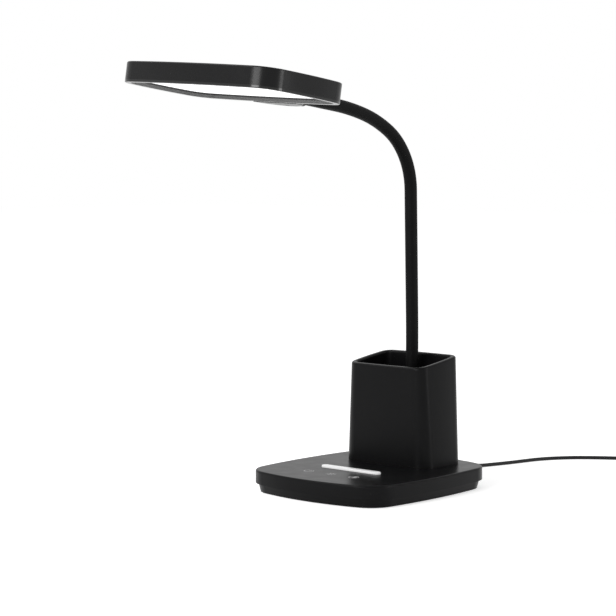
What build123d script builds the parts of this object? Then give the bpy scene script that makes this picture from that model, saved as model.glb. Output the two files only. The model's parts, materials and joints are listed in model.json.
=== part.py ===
from build123d import *
from math import cos, pi, radians, sin, tan
import os

# Desk lamp: rounded base, pen cup, gooseneck, wide flat lamp head, cord with a put-away coil.
# Millimetres. X is to the user's right, Y is away from the user, Z is up.
# The origin is the centre of the base's underside, where the mat meets the desk.

os.makedirs("parts", exist_ok=True)

# ---------------------------------------------------------------- base
base_half_width = 77.3        # X, to the middle of the bulged side
base_half_depth = 88.2        # Y, to the middle of the bulged front
base_corner_radius = 29.3
base_bulge_x = 3.0            # how far the left and right sides fall from their middle to the corner
base_bulge_y = 4.75           # the same for the front and the back
outline_steps = 8             # rounds of refining the point where two swollen sides meet
base_height = 19.5            # top of the base
seam_height = 8.1             # underside of the upper slab's overhang
tray_inset_top = 2.4          # the tray is this much smaller than the slab at the seam
tray_inset_bottom = 4.5       # and this much smaller at its bottom
tray_bottom = 0.5
tray_floor = 3.0
tray_wall = 2.2
top_plate = 2.5
slab_edge_round = 1.6

mat_inset_x = 25.3            # from the base's sides in to the mat
mat_inset_y = 26.2            # from its front and back in to the mat
mat_corner_radius = 18.0
mat_thickness = 1.5

ballast_inset_x = 26.3
ballast_inset_y = 26.2
ballast_corner_radius = 10.0
ballast_thickness = 5.0
ballast_edge = 0.5            # chamfer round its top

fit_gap = 0.1                 # clearance of pieces that are pressed or slid together
base_screw_inset_x = 19.8     # from the base's sides in to its screws
base_screw_inset_y = 23.7     # from its front and back in to its screws
base_boss_diameter = 9.0
base_screw_diameter = 3.0
base_screw_head = 6.0
base_screw_head_height = 1.8
base_screw_seat = 1.2         # tray floor left under the head
base_screw_grip = 8.0         # length of the shaft in the boss
clearance_hole = 0.4          # added to a screw's diameter

# ---------------------------------------------------------------- touch controls and light bar
touch_spacing = 25.0
touch_from_front = 37.2       # from the base's front to the middle of the touch controls
touch_spring_height = 2.0
touch_spring_diameter = 9.0
touch_spring_wall = 0.8
bar_length = 64.0
bar_width = 7.0
bar_from_front = 63.2         # from the base's front to the middle of the light bar
bar_proud = 1.9
bar_edge_round = 1.0
bar_flange = 2.0
bar_flange_height = 1.0
bar_led_size = 2.8
bar_led_height = 0.8
bar_led_spacing = 12.0
bar_led_count = 5
board_half_width = 41.0
board_from_front = 26.2       # from the base's front to the board's front edge
board_depth = 49.0
board_corner_radius = 2.0
board_thickness = 1.6
board_screw_x = 37.6
board_screw_inset = 5.0
board_screw_diameter = 2.0
board_screw_head = 3.6
board_screw_head_height = 1.3
standoff_diameter = 5.0

# ---------------------------------------------------------------- pen cup
cup_y = 46.3
cup_top_half_width = 42.6
cup_top_half_depth = 28.3
cup_bottom_half_width = 47.7
cup_bottom_half_depth = 28.5
cup_top_corner = 10.6
cup_bottom_corner = 14.2
cup_inner_corner = 3.0        # smallest corner inside the cup
cup_bulge = 0.65
cup_front_height = 106.2      # rim above the desk at the cup's front
cup_rim_slope = 8.2           # degrees, the rim rises towards the back
cup_wall = 5.0
cup_floor = 5.0
cup_rim_round = 1.8
cup_screw_x = 33.0
cup_screw_depth = 3.5
cup_screw_diameter = 3.0
cup_screw_head = 6.0
cup_screw_head_height = 2.2

# ---------------------------------------------------------------- gooseneck
neck_diameter = 11.0
neck_y = 58.2
neck_joint_height = 118.0     # first joint above the desk, just over the cup's rim
neck_joint_gap = 0.3          # between a link's round end and the next link's hollow
link_lengths = [35.0, 35.0, 35.0, 35.0, 32.0, 32.0, 36.0, 36.0, 53.0]
link_turns = [1.5, 0.0, 0.0, 0.0, 31.1, 28.0, 14.4, 7.8, 0.2]   # degrees towards the front
socket_flange_diameter = 20.0
socket_flange_height = 3.0
socket_diameter = 15.0
socket_height = 15.0          # collar above the flange
socket_edge = 0.8             # chamfer round the flange
socket_thread_diameter = 10.0
socket_thread_end = 10.0      # height of the thread's lower end
nut_across_flats = 16.0
nut_height = 4.5
washer_diameter = 20.0
washer_thickness = 1.2
collar_diameter = 14.0
collar_length = 14.0
collar_seat = 2.0             # the collar's length that is let into the tail
collar_edge = 1.0             # chamfer round its open end
collar_gap = 0.15             # the neck's last link is very slightly curved inside it

# ---------------------------------------------------------------- head
head_half_width = 84.6
head_half_depth = 52.15
head_corner_radius = 20.0
head_bulge_x = 1.65
head_bulge_y = 3.25
head_thickness = 16.7
head_roll = 2.95              # degrees, the right side hangs lower
head_wall = 2.4
head_top = 2.2
head_edge_round = 1.2
rim_height = 2.0
rim_edge_round = 0.5
rim_width = 5.0
diffuser_recess = 3.9         # from the rim's underside up to the diffuser
diffuser_thickness = 2.0
diffuser_inset = 2.7
frame_inner_inset = 5.2
led_board_inset = 5.6
led_board_thickness = 1.6
led_columns = 8
led_rows = 5
led_pitch = 17.5
led_size = 3.0
led_height = 0.8
tail_length = 22.0            # the round lug behind the head that takes the neck
tail_radius = 25.0
tail_drop = 0.3               # the lug hangs this much lower than the rim
tail_edge_round = 2.0
tail_root_round = 9.0         # hollow round where the lug flows into the head
spigot_length = 15.0          # neck inside the lug
wire_channel = 6.0
set_screw_diameter = 4.0
set_screw_length = 1.3
set_screw_from_tip = 7.0

# ---------------------------------------------------------------- cord and plug
cord_diameter = 3.3
cord_exit_height = 12.5
grommet_length = 16.0
grommet_root_diameter = 8.0
grommet_tip_diameter = 5.0
grommet_neck_diameter = 6.2
grommet_flange_diameter = 8.0
grommet_flange_height = 2.0
desk_gap = 0.05               # between the desk and what lies on it
cord_rest = cord_diameter / 2 + desk_gap  # height of the cord's centre on the desk
tie_thickness = 0.6
tie_lift = 0.1                # the tie's underside above the desk
tie_gap = 0.15
tie_width = 7.0
coil_pitch = 4.45             # from turn to turn, and from layer to layer
coil_outer_radius = 28.4      # centre of the outermost turn
coil_centre = (130.0, 272.0)
coil_in_half_turns = 8
coil_out_half_turns = 7
coil_height = tie_lift + tie_thickness + tie_gap + cord_diameter / 2   # centre of the lower layer
plug_length = 30.0
plug_width = 15.5
plug_height = 8.0
plug_round = 2.0
plug_edge_round = 0.6
plug_relief_length = 10.0
plug_relief_diameter = 5.4
plug_relief_swell = 0.9       # growth of its radius towards the plug
plug_shell_length = 18.7
plug_shell_width = 12.0
plug_shell_height = 4.5
plug_shell_wall = 0.4
plug_shell_corner = 0.6
plug_tongue_length = 17.5
plug_tongue_thickness = 1.9
plug_contact_thickness = 0.3
plug_contact_width = 1.2
plug_contact_pitch = 2.3
plug_contact_length = 12.0
plug_contact_count = 4


def finish(piece, label):
    """Name a finished piece and write its file."""
    piece.part.label = label
    export_step(piece.part, "parts/" + label + ".step")


def bulged_rectangle(half_x, half_y, corner, bulge_x, bulge_y):
    """Rounded rectangle with gently swollen sides, drawn in the active sketch.

    The half sizes reach to the middle of each side, which falls by its bulge to where the corner begins.
    The swollen sides are carried on to where they would meet, and that meeting point is then rounded.
    """
    begin_x, begin_y = half_x - bulge_x - corner, half_y - bulge_y - corner
    x, y = half_x - bulge_x, half_y - bulge_y
    for _ in range(outline_steps):
        x, y = half_x - bulge_x * (y / begin_y) ** 2, half_y - bulge_y * (x / begin_x) ** 2
    with BuildLine() as sides:
        ThreePointArc((-x, -y), (0, -half_y), (x, -y))
        ThreePointArc((x, -y), (half_x, 0), (x, y))
        ThreePointArc((x, y), (0, half_y), (-x, y))
        ThreePointArc((-x, y), (-half_x, 0), (-x, -y))
    make_face(sides.edges())
    fillet(vertices(), corner)


def base_outline(inset):
    """Outline of the base, moved in by an even inset."""
    half_x, half_y = base_half_width - inset, base_half_depth - inset
    bulged_rectangle(half_x, half_y, base_corner_radius - inset, base_bulge_x, base_bulge_y)


def head_outline(inset):
    """Outline of the lamp head, moved in by an even inset."""
    half_x, half_y = head_half_width - inset, head_half_depth - inset
    bulged_rectangle(half_x, half_y, head_corner_radius - inset, head_bulge_x, head_bulge_y)


# ================================================================ base
mat_half_width = base_half_width - mat_inset_x
mat_half_depth = base_half_depth - mat_inset_y
ballast_half_width = base_half_width - ballast_inset_x
ballast_half_depth = base_half_depth - ballast_inset_y
base_screw_x = base_half_width - base_screw_inset_x
base_screw_y = base_half_depth - base_screw_inset_y
touch_y = touch_from_front - base_half_depth
bar_y = bar_from_front - base_half_depth
board_front = board_from_front - base_half_depth
board_back = board_front + board_depth
plate_underside = base_height - top_plate
tray_floor_top = tray_bottom + tray_floor
slab_wall = tray_inset_top + tray_wall
board_top = plate_underside - touch_spring_height
board_bottom = board_top - board_thickness
board_screw_rows = (board_front + board_screw_inset, board_back - board_screw_inset)
base_screw_places = [(x, y) for x in (-base_screw_x, base_screw_x) for y in (-base_screw_y, base_screw_y)]
board_screw_places = [(x, y) for x in (-board_screw_x, board_screw_x) for y in board_screw_rows]
cup_screw_places = [(-cup_screw_x, cup_y), (cup_screw_x, cup_y)]
touch_places = [(-touch_spacing, touch_y), (0, touch_y), (touch_spacing, touch_y)]
exit_plane = Plane(origin=(0, base_half_depth, cord_exit_height), x_dir=(-1, 0, 0), z_dir=(0, 1, 0))

with BuildPart() as base_top_shell:
    with BuildSketch(Plane.XY.offset(seam_height)):
        base_outline(0)
    extrude(amount=base_height - seam_height)
    fillet(base_top_shell.faces().sort_by(Axis.Z)[-1].edges(), slab_edge_round)
    with BuildSketch(Plane.XY.offset(seam_height)):
        base_outline(slab_wall)
    extrude(amount=plate_underside - seam_height, mode=Mode.SUBTRACT)
    with BuildSketch(Plane.XY.offset(tray_floor_top)):
        with Locations(*base_screw_places):
            Circle(base_boss_diameter / 2)
    extrude(amount=plate_underside - tray_floor_top)
    with BuildSketch(Plane.XY.offset(tray_floor_top)):
        with Locations(*base_screw_places):
            Circle((base_screw_diameter + fit_gap) / 2)
    extrude(amount=base_screw_grip + fit_gap, mode=Mode.SUBTRACT)
    with BuildSketch(Plane.XY.offset(board_top)):
        with Locations(*board_screw_places):
            Circle(standoff_diameter / 2)
    extrude(amount=touch_spring_height)
    with BuildSketch(Plane.XY.offset(board_top)):
        with Locations(*board_screw_places):
            Circle((board_screw_diameter + fit_gap) / 2)
    extrude(amount=touch_spring_height, mode=Mode.SUBTRACT)
    with BuildSketch(Plane.XY.offset(plate_underside)):
        with Locations((0, bar_y)):
            SlotOverall(bar_length + 2 * fit_gap, bar_width + 2 * fit_gap)
        with Locations((0, neck_y)):
            Circle((socket_thread_diameter + clearance_hole) / 2)
        with Locations(*cup_screw_places):
            Circle((cup_screw_diameter + clearance_hole) / 2)
    extrude(amount=top_plate, mode=Mode.SUBTRACT)
    with BuildSketch(exit_plane.offset(fit_gap)):
        Circle((grommet_neck_diameter + fit_gap) / 2)
    extrude(amount=-slab_wall - 2 * fit_gap, mode=Mode.SUBTRACT)
finish(base_top_shell, "base_top_shell")

with BuildPart() as base_bottom_shell:
    with BuildSketch(Plane.XY.offset(tray_bottom)):
        base_outline(tray_inset_bottom)
    with BuildSketch(Plane.XY.offset(seam_height)):
        base_outline(tray_inset_top)
    loft(ruled=True)
    with BuildSketch(Plane.XY.offset(tray_floor_top)):
        base_outline(tray_inset_bottom + tray_wall)
    with BuildSketch(Plane.XY.offset(seam_height)):
        base_outline(slab_wall)
    loft(ruled=True, mode=Mode.SUBTRACT)
    with BuildSketch(Plane.XY.offset(tray_bottom)):
        RectangleRounded(2 * (mat_half_width + fit_gap), 2 * (mat_half_depth + fit_gap), mat_corner_radius)
    extrude(amount=mat_thickness - tray_bottom, mode=Mode.SUBTRACT)
    with BuildSketch(Plane.XY.offset(tray_bottom)):
        with Locations(*base_screw_places):
            Circle((base_screw_diameter + clearance_hole) / 2)
    extrude(amount=tray_floor, mode=Mode.SUBTRACT)
    with BuildSketch(Plane.XY.offset(tray_bottom)):
        with Locations(*base_screw_places):
            Circle((base_screw_head + clearance_hole) / 2)
    extrude(amount=tray_floor - base_screw_seat, mode=Mode.SUBTRACT)
finish(base_bottom_shell, "base_bottom_shell")

with BuildPart() as non_slip_mat:
    with BuildSketch():
        RectangleRounded(2 * mat_half_width, 2 * mat_half_depth, mat_corner_radius)
    extrude(amount=mat_thickness)
finish(non_slip_mat, "non_slip_mat")

with BuildPart() as ballast_plate:
    with BuildSketch(Plane.XY.offset(tray_floor_top)):
        RectangleRounded(2 * ballast_half_width, 2 * ballast_half_depth, ballast_corner_radius)
    extrude(amount=ballast_thickness)
    chamfer(ballast_plate.faces().sort_by(Axis.Z)[-1].edges(), ballast_edge)
finish(ballast_plate, "ballast_plate")

base_screw_seat_height = tray_floor_top - base_screw_seat
with BuildPart() as base_screws:
    with BuildSketch(Plane.XY.offset(base_screw_seat_height - base_screw_head_height)):
        with Locations(*base_screw_places):
            Circle(base_screw_head / 2)
    extrude(amount=base_screw_head_height)
    with BuildSketch(Plane.XY.offset(base_screw_seat_height)):
        with Locations(*base_screw_places):
            Circle(base_screw_diameter / 2)
    extrude(amount=base_screw_seat + base_screw_grip)
finish(base_screws, "base_screws")

# ================================================================ controls in the base
with BuildPart() as control_board:
    with BuildSketch(Plane.XY.offset(board_bottom)):
        with Locations((0, (board_front + board_back) / 2)):
            RectangleRounded(2 * board_half_width, board_back - board_front, board_corner_radius)
        with Locations(*board_screw_places):
            Circle((board_screw_diameter + clearance_hole) / 2, mode=Mode.SUBTRACT)
    extrude(amount=board_thickness)
finish(control_board, "control_board")

with BuildPart() as board_screws:
    with BuildSketch(Plane.XY.offset(board_bottom - board_screw_head_height)):
        with Locations(*board_screw_places):
            Circle(board_screw_head / 2)
    extrude(amount=board_screw_head_height)
    with BuildSketch(Plane.XY.offset(board_bottom)):
        with Locations(*board_screw_places):
            Circle(board_screw_diameter / 2)
    extrude(amount=board_thickness + touch_spring_height - fit_gap)
finish(board_screws, "board_screws")

with BuildPart() as touch_springs:
    with BuildSketch(Plane.XY.offset(board_top)):
        with Locations(*touch_places):
            Circle(touch_spring_diameter / 2)
            Circle(touch_spring_diameter / 2 - touch_spring_wall, mode=Mode.SUBTRACT)
    extrude(amount=touch_spring_height)
finish(touch_springs, "touch_springs")

with BuildPart() as light_bar:
    with BuildSketch(Plane.XY.offset(plate_underside - bar_flange_height)):
        with Locations((0, bar_y)):
            SlotOverall(bar_length + 2 * bar_flange, bar_width + 2 * bar_flange)
    extrude(amount=bar_flange_height)
    with BuildSketch(Plane.XY.offset(plate_underside)):
        with Locations((0, bar_y)):
            SlotOverall(bar_length, bar_width)
    extrude(amount=top_plate + bar_proud)
    fillet(light_bar.faces().sort_by(Axis.Z)[-1].edges(), bar_edge_round)
finish(light_bar, "light_bar")

with BuildPart() as bar_leds:
    with BuildSketch(Plane.XY.offset(board_top)):
        with Locations((0, bar_y)):
            with GridLocations(bar_led_spacing, 1, bar_led_count, 1):
                Rectangle(bar_led_size, bar_led_size)
    extrude(amount=bar_led_height)
finish(bar_leds, "bar_leds")

# ================================================================ pen cup
cup_rim_plane = Plane(
    origin=(0, cup_y - cup_top_half_depth, cup_front_height),
    x_dir=(1, 0, 0),
    z_dir=(0, -sin(radians(cup_rim_slope)), cos(radians(cup_rim_slope))),
)
cup_loft_height = cup_front_height - base_height
cup_overshoot = 1.25          # the walls are drawn this much taller and then cut to the sloped rim


def cup_level(share):
    """Level plane through the cup's axis, at a share of its front height."""
    return Plane((0, cup_y, base_height + cup_loft_height * share))


def cup_outline(share, inset):
    """Outline of the cup at a share of its front height, moved in by an even inset."""
    half_x = cup_bottom_half_width + (cup_top_half_width - cup_bottom_half_width) * share - inset
    half_y = cup_bottom_half_depth + (cup_top_half_depth - cup_bottom_half_depth) * share - inset
    corner = cup_bottom_corner + (cup_top_corner - cup_bottom_corner) * share - inset
    bulged_rectangle(half_x, half_y, max(corner, cup_inner_corner), cup_bulge, cup_bulge)


with BuildPart() as pen_cup:
    with BuildSketch(cup_level(0)):
        cup_outline(0, 0)
    with BuildSketch(cup_level(cup_overshoot)):
        cup_outline(cup_overshoot, 0)
    loft(ruled=True)
    cup_floor_share = cup_floor / cup_loft_height
    with BuildSketch(cup_level(cup_floor_share)):
        cup_outline(cup_floor_share, cup_wall)
    with BuildSketch(cup_level(cup_overshoot)):
        cup_outline(cup_overshoot, cup_wall)
    loft(ruled=True, mode=Mode.SUBTRACT)
    split(bisect_by=cup_rim_plane, keep=Keep.BOTTOM)
    rim_face = pen_cup.faces().filter_by(lambda f: abs(f.normal_at().dot(cup_rim_plane.z_dir)) > 0.999)
    fillet(rim_face.sort_by(Axis.Z)[-1].edges(), cup_rim_round)
    with BuildSketch(Plane.XY.offset(base_height)):
        with Locations(*cup_screw_places):
            Circle((cup_screw_diameter + fit_gap) / 2)
    extrude(amount=cup_screw_depth + fit_gap, mode=Mode.SUBTRACT)
    with BuildSketch(Plane.XY.offset(base_height)):
        with Locations((0, neck_y)):
            Circle((socket_thread_diameter + clearance_hole) / 2)
    extrude(amount=cup_floor, mode=Mode.SUBTRACT)
finish(pen_cup, "pen_cup")

with BuildPart() as cup_screws:
    with BuildSketch(Plane.XY.offset(plate_underside - cup_screw_head_height)):
        with Locations(*cup_screw_places):
            Circle(cup_screw_head / 2)
    extrude(amount=cup_screw_head_height)
    with BuildSketch(Plane.XY.offset(plate_underside)):
        with Locations(*cup_screw_places):
            Circle(cup_screw_diameter / 2)
    extrude(amount=top_plate + cup_screw_depth)
finish(cup_screws, "cup_screws")

# ================================================================ neck: socket, nut, lower tube
neck_radius = neck_diameter / 2
socket_seat = base_height + cup_floor
tube_foot = socket_seat + socket_flange_height

with BuildPart() as neck_socket:
    with BuildSketch(Plane.XY.offset(socket_seat)):
        with Locations((0, neck_y)):
            Circle(socket_flange_diameter / 2)
    extrude(amount=socket_flange_height)
    chamfer(neck_socket.faces().sort_by(Axis.Z)[-1].edges(), socket_edge)
    with BuildSketch(Plane.XY.offset(tube_foot)):
        with Locations((0, neck_y)):
            Circle(socket_diameter / 2)
            Circle(neck_radius + fit_gap / 2, mode=Mode.SUBTRACT)
    extrude(amount=socket_height)
    with BuildSketch(Plane.XY.offset(socket_thread_end)):
        with Locations((0, neck_y)):
            Circle(socket_thread_diameter / 2)
    extrude(amount=socket_seat - socket_thread_end)
    with BuildSketch(Plane.XY.offset(socket_thread_end)):
        with Locations((0, neck_y)):
            Circle(wire_channel / 2)
    extrude(amount=tube_foot - socket_thread_end, mode=Mode.SUBTRACT)
finish(neck_socket, "neck_socket")

with BuildPart() as neck_washer:
    with BuildSketch(Plane.XY.offset(plate_underside - washer_thickness)):
        with Locations((0, neck_y)):
            Circle(washer_diameter / 2)
            Circle((socket_thread_diameter + clearance_hole) / 2, mode=Mode.SUBTRACT)
    extrude(amount=washer_thickness)
finish(neck_washer, "neck_washer")

with BuildPart() as neck_nut:
    with BuildSketch(Plane.XY.offset(plate_underside - washer_thickness - nut_height)):
        with Locations((0, neck_y)):
            RegularPolygon(nut_across_flats / 2, 6, major_radius=False)
            Circle((socket_thread_diameter + fit_gap) / 2, mode=Mode.SUBTRACT)
    extrude(amount=nut_height)
finish(neck_nut, "neck_nut")


class Station:
    """A point on the neck's centre line: its place in the YZ plane and its lean from upright, in degrees."""

    def __init__(self, y, z, lean):
        self.y, self.z, self.lean = y, z, lean

    def point(self):
        return Vector(0, self.y, self.z)

    def direction(self):
        return Vector(0, -sin(radians(self.lean)), cos(radians(self.lean)))

    def after(self, length, turn):
        """The station reached along an arc of this length that turns by this many degrees."""
        half = radians(turn) / 2
        chord = length if turn == 0 else length * sin(half) / half
        heading = radians(self.lean) + half
        return Station(self.y - chord * sin(heading), self.z + chord * cos(heading), self.lean + turn)


joints = [Station(neck_y, neck_joint_height, 0.0)]
for length, turn in zip(link_lengths, link_turns):
    joints.append(joints[-1].after(length, turn))

with BuildPart() as neck_lower_tube:
    with BuildSketch(Plane.XY.offset(tube_foot)):
        with Locations((0, neck_y)):
            Circle(neck_radius)
    extrude(amount=neck_joint_height - tube_foot)
    with Locations((0, neck_y, neck_joint_height)):
        Sphere(neck_radius)
finish(neck_lower_tube, "neck_lower_tube")


def neck_link(start, length, turn, spigot):
    """One link: an arc of tube, hollowed at its start, and round or with a straight spigot at its end."""
    middle, end = start.after(length / 2, turn / 2), start.after(length, turn)
    with BuildPart() as link:
        with BuildLine() as centre_line:
            if turn == 0:
                Line(start.point(), end.point())
            else:
                ThreePointArc(start.point(), middle.point(), end.point())
        with BuildSketch(Plane(origin=start.point(), x_dir=(1, 0, 0), z_dir=start.direction())):
            Circle(neck_radius)
        sweep(path=centre_line.wires()[0])
        if spigot:
            with BuildSketch(Plane(origin=end.point(), x_dir=(1, 0, 0), z_dir=end.direction())):
                Circle(neck_radius)
            extrude(amount=spigot)
        else:
            with Locations(end.point()):
                Sphere(neck_radius)
        with Locations(start.point()):
            Sphere(neck_radius + neck_joint_gap, mode=Mode.SUBTRACT)
    return link


last_link = len(link_lengths)
for number, (start, length, turn) in enumerate(zip(joints, link_lengths, link_turns), 1):
    link = neck_link(start, length, turn, spigot_length if number == last_link else 0)
    finish(link, "neck_link_" + str(number))
    print("joint", number, "at y %.3f z %.3f, lean %.3f" % (start.y, start.z, start.lean))

# ================================================================ head
neck_end = joints[-1]
head_centre = neck_end.point() + neck_end.direction() * (tail_length + head_half_depth)
level_side = Vector(1, 0, 0)
level_up = Vector(0, cos(radians(neck_end.lean)), sin(radians(neck_end.lean)))
roll = radians(head_roll)
head_frame = Plane(
    origin=head_centre,
    x_dir=level_side * cos(roll) - level_up * sin(roll),
    z_dir=level_side * sin(roll) + level_up * cos(roll),
)
print("head centre", [round(value, 2) for value in head_centre])

head_bottom = -head_thickness / 2
head_top_height = head_thickness / 2
head_ceiling = head_top_height - head_top
rim_top = head_bottom + rim_height
diffuser_bottom = head_bottom + diffuser_recess
diffuser_top = diffuser_bottom + diffuser_thickness
led_board_bottom = head_ceiling - led_board_thickness


def across(distance):
    """Plane square to the head's depth, at this distance behind its centre."""
    return Plane(
        origin=head_frame.from_local_coords((0, distance, 0)), x_dir=head_frame.x_dir, z_dir=head_frame.y_dir
    )


tail_tip_at = head_half_depth + tail_length
set_screw_at = tail_tip_at - set_screw_from_tip

tail_bottom = head_bottom - tail_drop
tail_centre = (0, tail_tip_at - tail_radius)

with BuildPart() as head_shell:
    with BuildSketch(head_frame.offset(tail_bottom)):
        with Locations(tail_centre):
            Circle(tail_radius)
    extrude(amount=rim_top - tail_bottom)
    fillet(head_shell.edges().sort_by(lambda e: head_frame.to_local_coords(e.center()).Z)[0], tail_edge_round)
    with BuildSketch(head_frame.offset(rim_top)):
        head_outline(0)
        with Locations(tail_centre):
            Circle(tail_radius)
    extrude(amount=head_top_height - rim_top)
    roots = head_shell.edges().filter_by(
        lambda e: abs(e.tangent_at(0.5).dot(head_frame.z_dir)) > 0.999
        and head_frame.to_local_coords(e.center()).Y > tail_centre[1] + 1
        and 1 < abs(e.center().X) < tail_radius + 1
    )
    fillet(roots, tail_root_round)
    top_edges = head_shell.faces().sort_by(lambda f: head_frame.to_local_coords(f.center()).Z)[-1].edges()
    fillet(top_edges, head_edge_round)
    with BuildSketch(head_frame.offset(tail_bottom)):
        head_outline(0)
    extrude(amount=rim_top - tail_bottom, mode=Mode.SUBTRACT)
    with BuildSketch(head_frame.offset(rim_top)):
        head_outline(head_wall)
    extrude(amount=head_ceiling - rim_top, mode=Mode.SUBTRACT)
    with BuildSketch(across(tail_tip_at)):
        Circle(collar_diameter / 2 + fit_gap)
    extrude(amount=-collar_seat - fit_gap, mode=Mode.SUBTRACT)
    with BuildSketch(across(tail_tip_at)):
        Circle(neck_radius + fit_gap / 2)
    extrude(amount=-spigot_length, mode=Mode.SUBTRACT)
    with BuildSketch(across(tail_tip_at)):
        Circle(wire_channel / 2)
    extrude(amount=-tail_length - 2 * head_wall, mode=Mode.SUBTRACT)
    with BuildSketch(head_frame.offset(tail_bottom)):
        with Locations((0, set_screw_at)):
            Circle((set_screw_diameter + fit_gap) / 2)
    extrude(amount=-tail_bottom, mode=Mode.SUBTRACT)
finish(head_shell, "head_shell")

with BuildPart() as head_rim:
    with BuildSketch(head_frame.offset(head_bottom)):
        head_outline(0)
    extrude(amount=rim_height)
    with BuildSketch(head_frame.offset(rim_top)):
        head_outline(head_wall + fit_gap)
    extrude(amount=diffuser_bottom - rim_top)
    with BuildSketch(head_frame.offset(head_bottom)):
        head_outline(rim_width)
    extrude(amount=diffuser_recess, mode=Mode.SUBTRACT)
    bottom_edges = head_rim.faces().sort_by(lambda f: head_frame.to_local_coords(f.center()).Z)[0].edges()
    fillet(bottom_edges, rim_edge_round)
finish(head_rim, "head_rim")

with BuildPart() as diffuser:
    with BuildSketch(head_frame.offset(diffuser_bottom)):
        head_outline(diffuser_inset)
    extrude(amount=diffuser_thickness)
finish(diffuser, "diffuser")

with BuildPart() as reflector_frame:
    with BuildSketch(head_frame.offset(diffuser_top)):
        head_outline(diffuser_inset)
        with BuildSketch(mode=Mode.PRIVATE) as frame_window:
            head_outline(frame_inner_inset)
        add(frame_window.sketch, mode=Mode.SUBTRACT)
    extrude(amount=head_ceiling - diffuser_top)
finish(reflector_frame, "reflector_frame")

with BuildPart() as led_board:
    with BuildSketch(head_frame.offset(led_board_bottom)):
        head_outline(led_board_inset)
    extrude(amount=led_board_thickness)
finish(led_board, "led_board")

with BuildPart() as led_chips:
    with BuildSketch(head_frame.offset(led_board_bottom - led_height)):
        with GridLocations(led_pitch, led_pitch, led_columns, led_rows):
            Rectangle(led_size, led_size)
    extrude(amount=led_height)
finish(led_chips, "led_chips")

with BuildPart() as neck_collar:
    with BuildSketch(across(tail_tip_at - collar_seat)):
        Circle(collar_diameter / 2)
        Circle(neck_radius + collar_gap, mode=Mode.SUBTRACT)
    extrude(amount=collar_length)
    open_end = neck_collar.faces().sort_by(lambda f: head_frame.to_local_coords(f.center()).Y)[-1]
    chamfer(open_end.edges().sort_by(SortBy.LENGTH)[-1], collar_edge)
finish(neck_collar, "neck_collar")

with BuildPart() as neck_set_screw:
    with BuildSketch(head_frame.offset(-neck_radius - fit_gap)):
        with Locations((0, set_screw_at)):
            Circle(set_screw_diameter / 2)
    extrude(amount=-set_screw_length)
finish(neck_set_screw, "neck_set_screw")

# ================================================================ cord
cord_radius = cord_diameter / 2
with BuildPart() as cord_grommet:
    with BuildSketch(exit_plane):
        Circle(grommet_root_diameter / 2)
    with BuildSketch(exit_plane.offset(grommet_length)):
        Circle(grommet_tip_diameter / 2)
    loft()
    with BuildSketch(exit_plane.offset(-slab_wall - fit_gap)):
        Circle(grommet_neck_diameter / 2)
    extrude(amount=slab_wall + fit_gap)
    with BuildSketch(exit_plane.offset(-slab_wall - fit_gap)):
        Circle(grommet_flange_diameter / 2)
    extrude(amount=-grommet_flange_height)
finish(cord_grommet, "cord_grommet")


def tube_path(points):
    """Straight runs joined by tangent arcs as large as the runs allow, with its radii."""
    route = [Vector(*point) for point in points]
    radii = []
    for before, here, beyond in zip(route, route[1:], route[2:]):
        first, second = here - before, beyond - here
        half_turn = radians(first.get_angle(second)) / 2
        radii.append(0.45 * min(first.length, second.length) / tan(half_turn))
    return radii, route


def cord_tube(points, label):
    """A stretch of cord along its route."""
    radii, route = tube_path(points)
    with BuildPart() as tube:
        with BuildLine() as line:
            FilletPolyline(*route, radius=radii)
        with BuildSketch(Plane(origin=route[0], z_dir=route[1] - route[0])):
            Circle(cord_radius)
        sweep(path=line.wires()[0])
    length = line.wires()[0].length
    print(label, "length %.1f, radii" % length, [round(radius, 1) for radius in radii])
    print(label, "volume over section times length %.4f" % (tube.part.volume / (pi * cord_radius**2 * length)))
    finish(tube, label)
    return length


coil_x, coil_y = coil_centre
coil_entry = (coil_x, coil_y + coil_outer_radius, coil_height)
grommet_end = base_half_depth + grommet_length

lead_points = [
    (0, grommet_end, cord_exit_height),
    (0, grommet_end + 13, cord_exit_height),
    (-1, 136, 7.0),
    (-2, 157, cord_rest),
    (5, 179, cord_rest),
    (11.5, 203, cord_rest),
    (17, 232, cord_rest),
    (34, 259, cord_rest),
    (61, 280, cord_rest),
    (90, coil_entry[1] - 4, cord_rest),
    (coil_x - 16, coil_entry[1], coil_height),
    (coil_x - cord_diameter, coil_entry[1], coil_height),
]
lead_length = cord_tube(lead_points, "cord_lead")


def coil_radius(step):
    """Radius after this many half turns: the spiral closes in, climbs a layer, and opens out again."""
    inward = min(step, coil_in_half_turns)
    outward = max(step - coil_in_half_turns - 1, 0)
    return coil_outer_radius - (inward - outward) * coil_pitch / 2


def coil_point(step):
    """The route's point after this many half turns; the first is behind the centre, the next in front of it."""
    side = 1 if step % 2 == 0 else -1
    layer = coil_pitch if step > coil_in_half_turns else 0
    return Vector(coil_x, coil_y + side * coil_radius(step), coil_height + layer)


coil_half_turns = coil_in_half_turns + 1 + coil_out_half_turns
coil_end = coil_point(coil_half_turns)
coil_ends_behind = coil_half_turns % 2 == 0
end_heading = Vector(1 if coil_ends_behind else -1, 0, 0)

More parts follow.
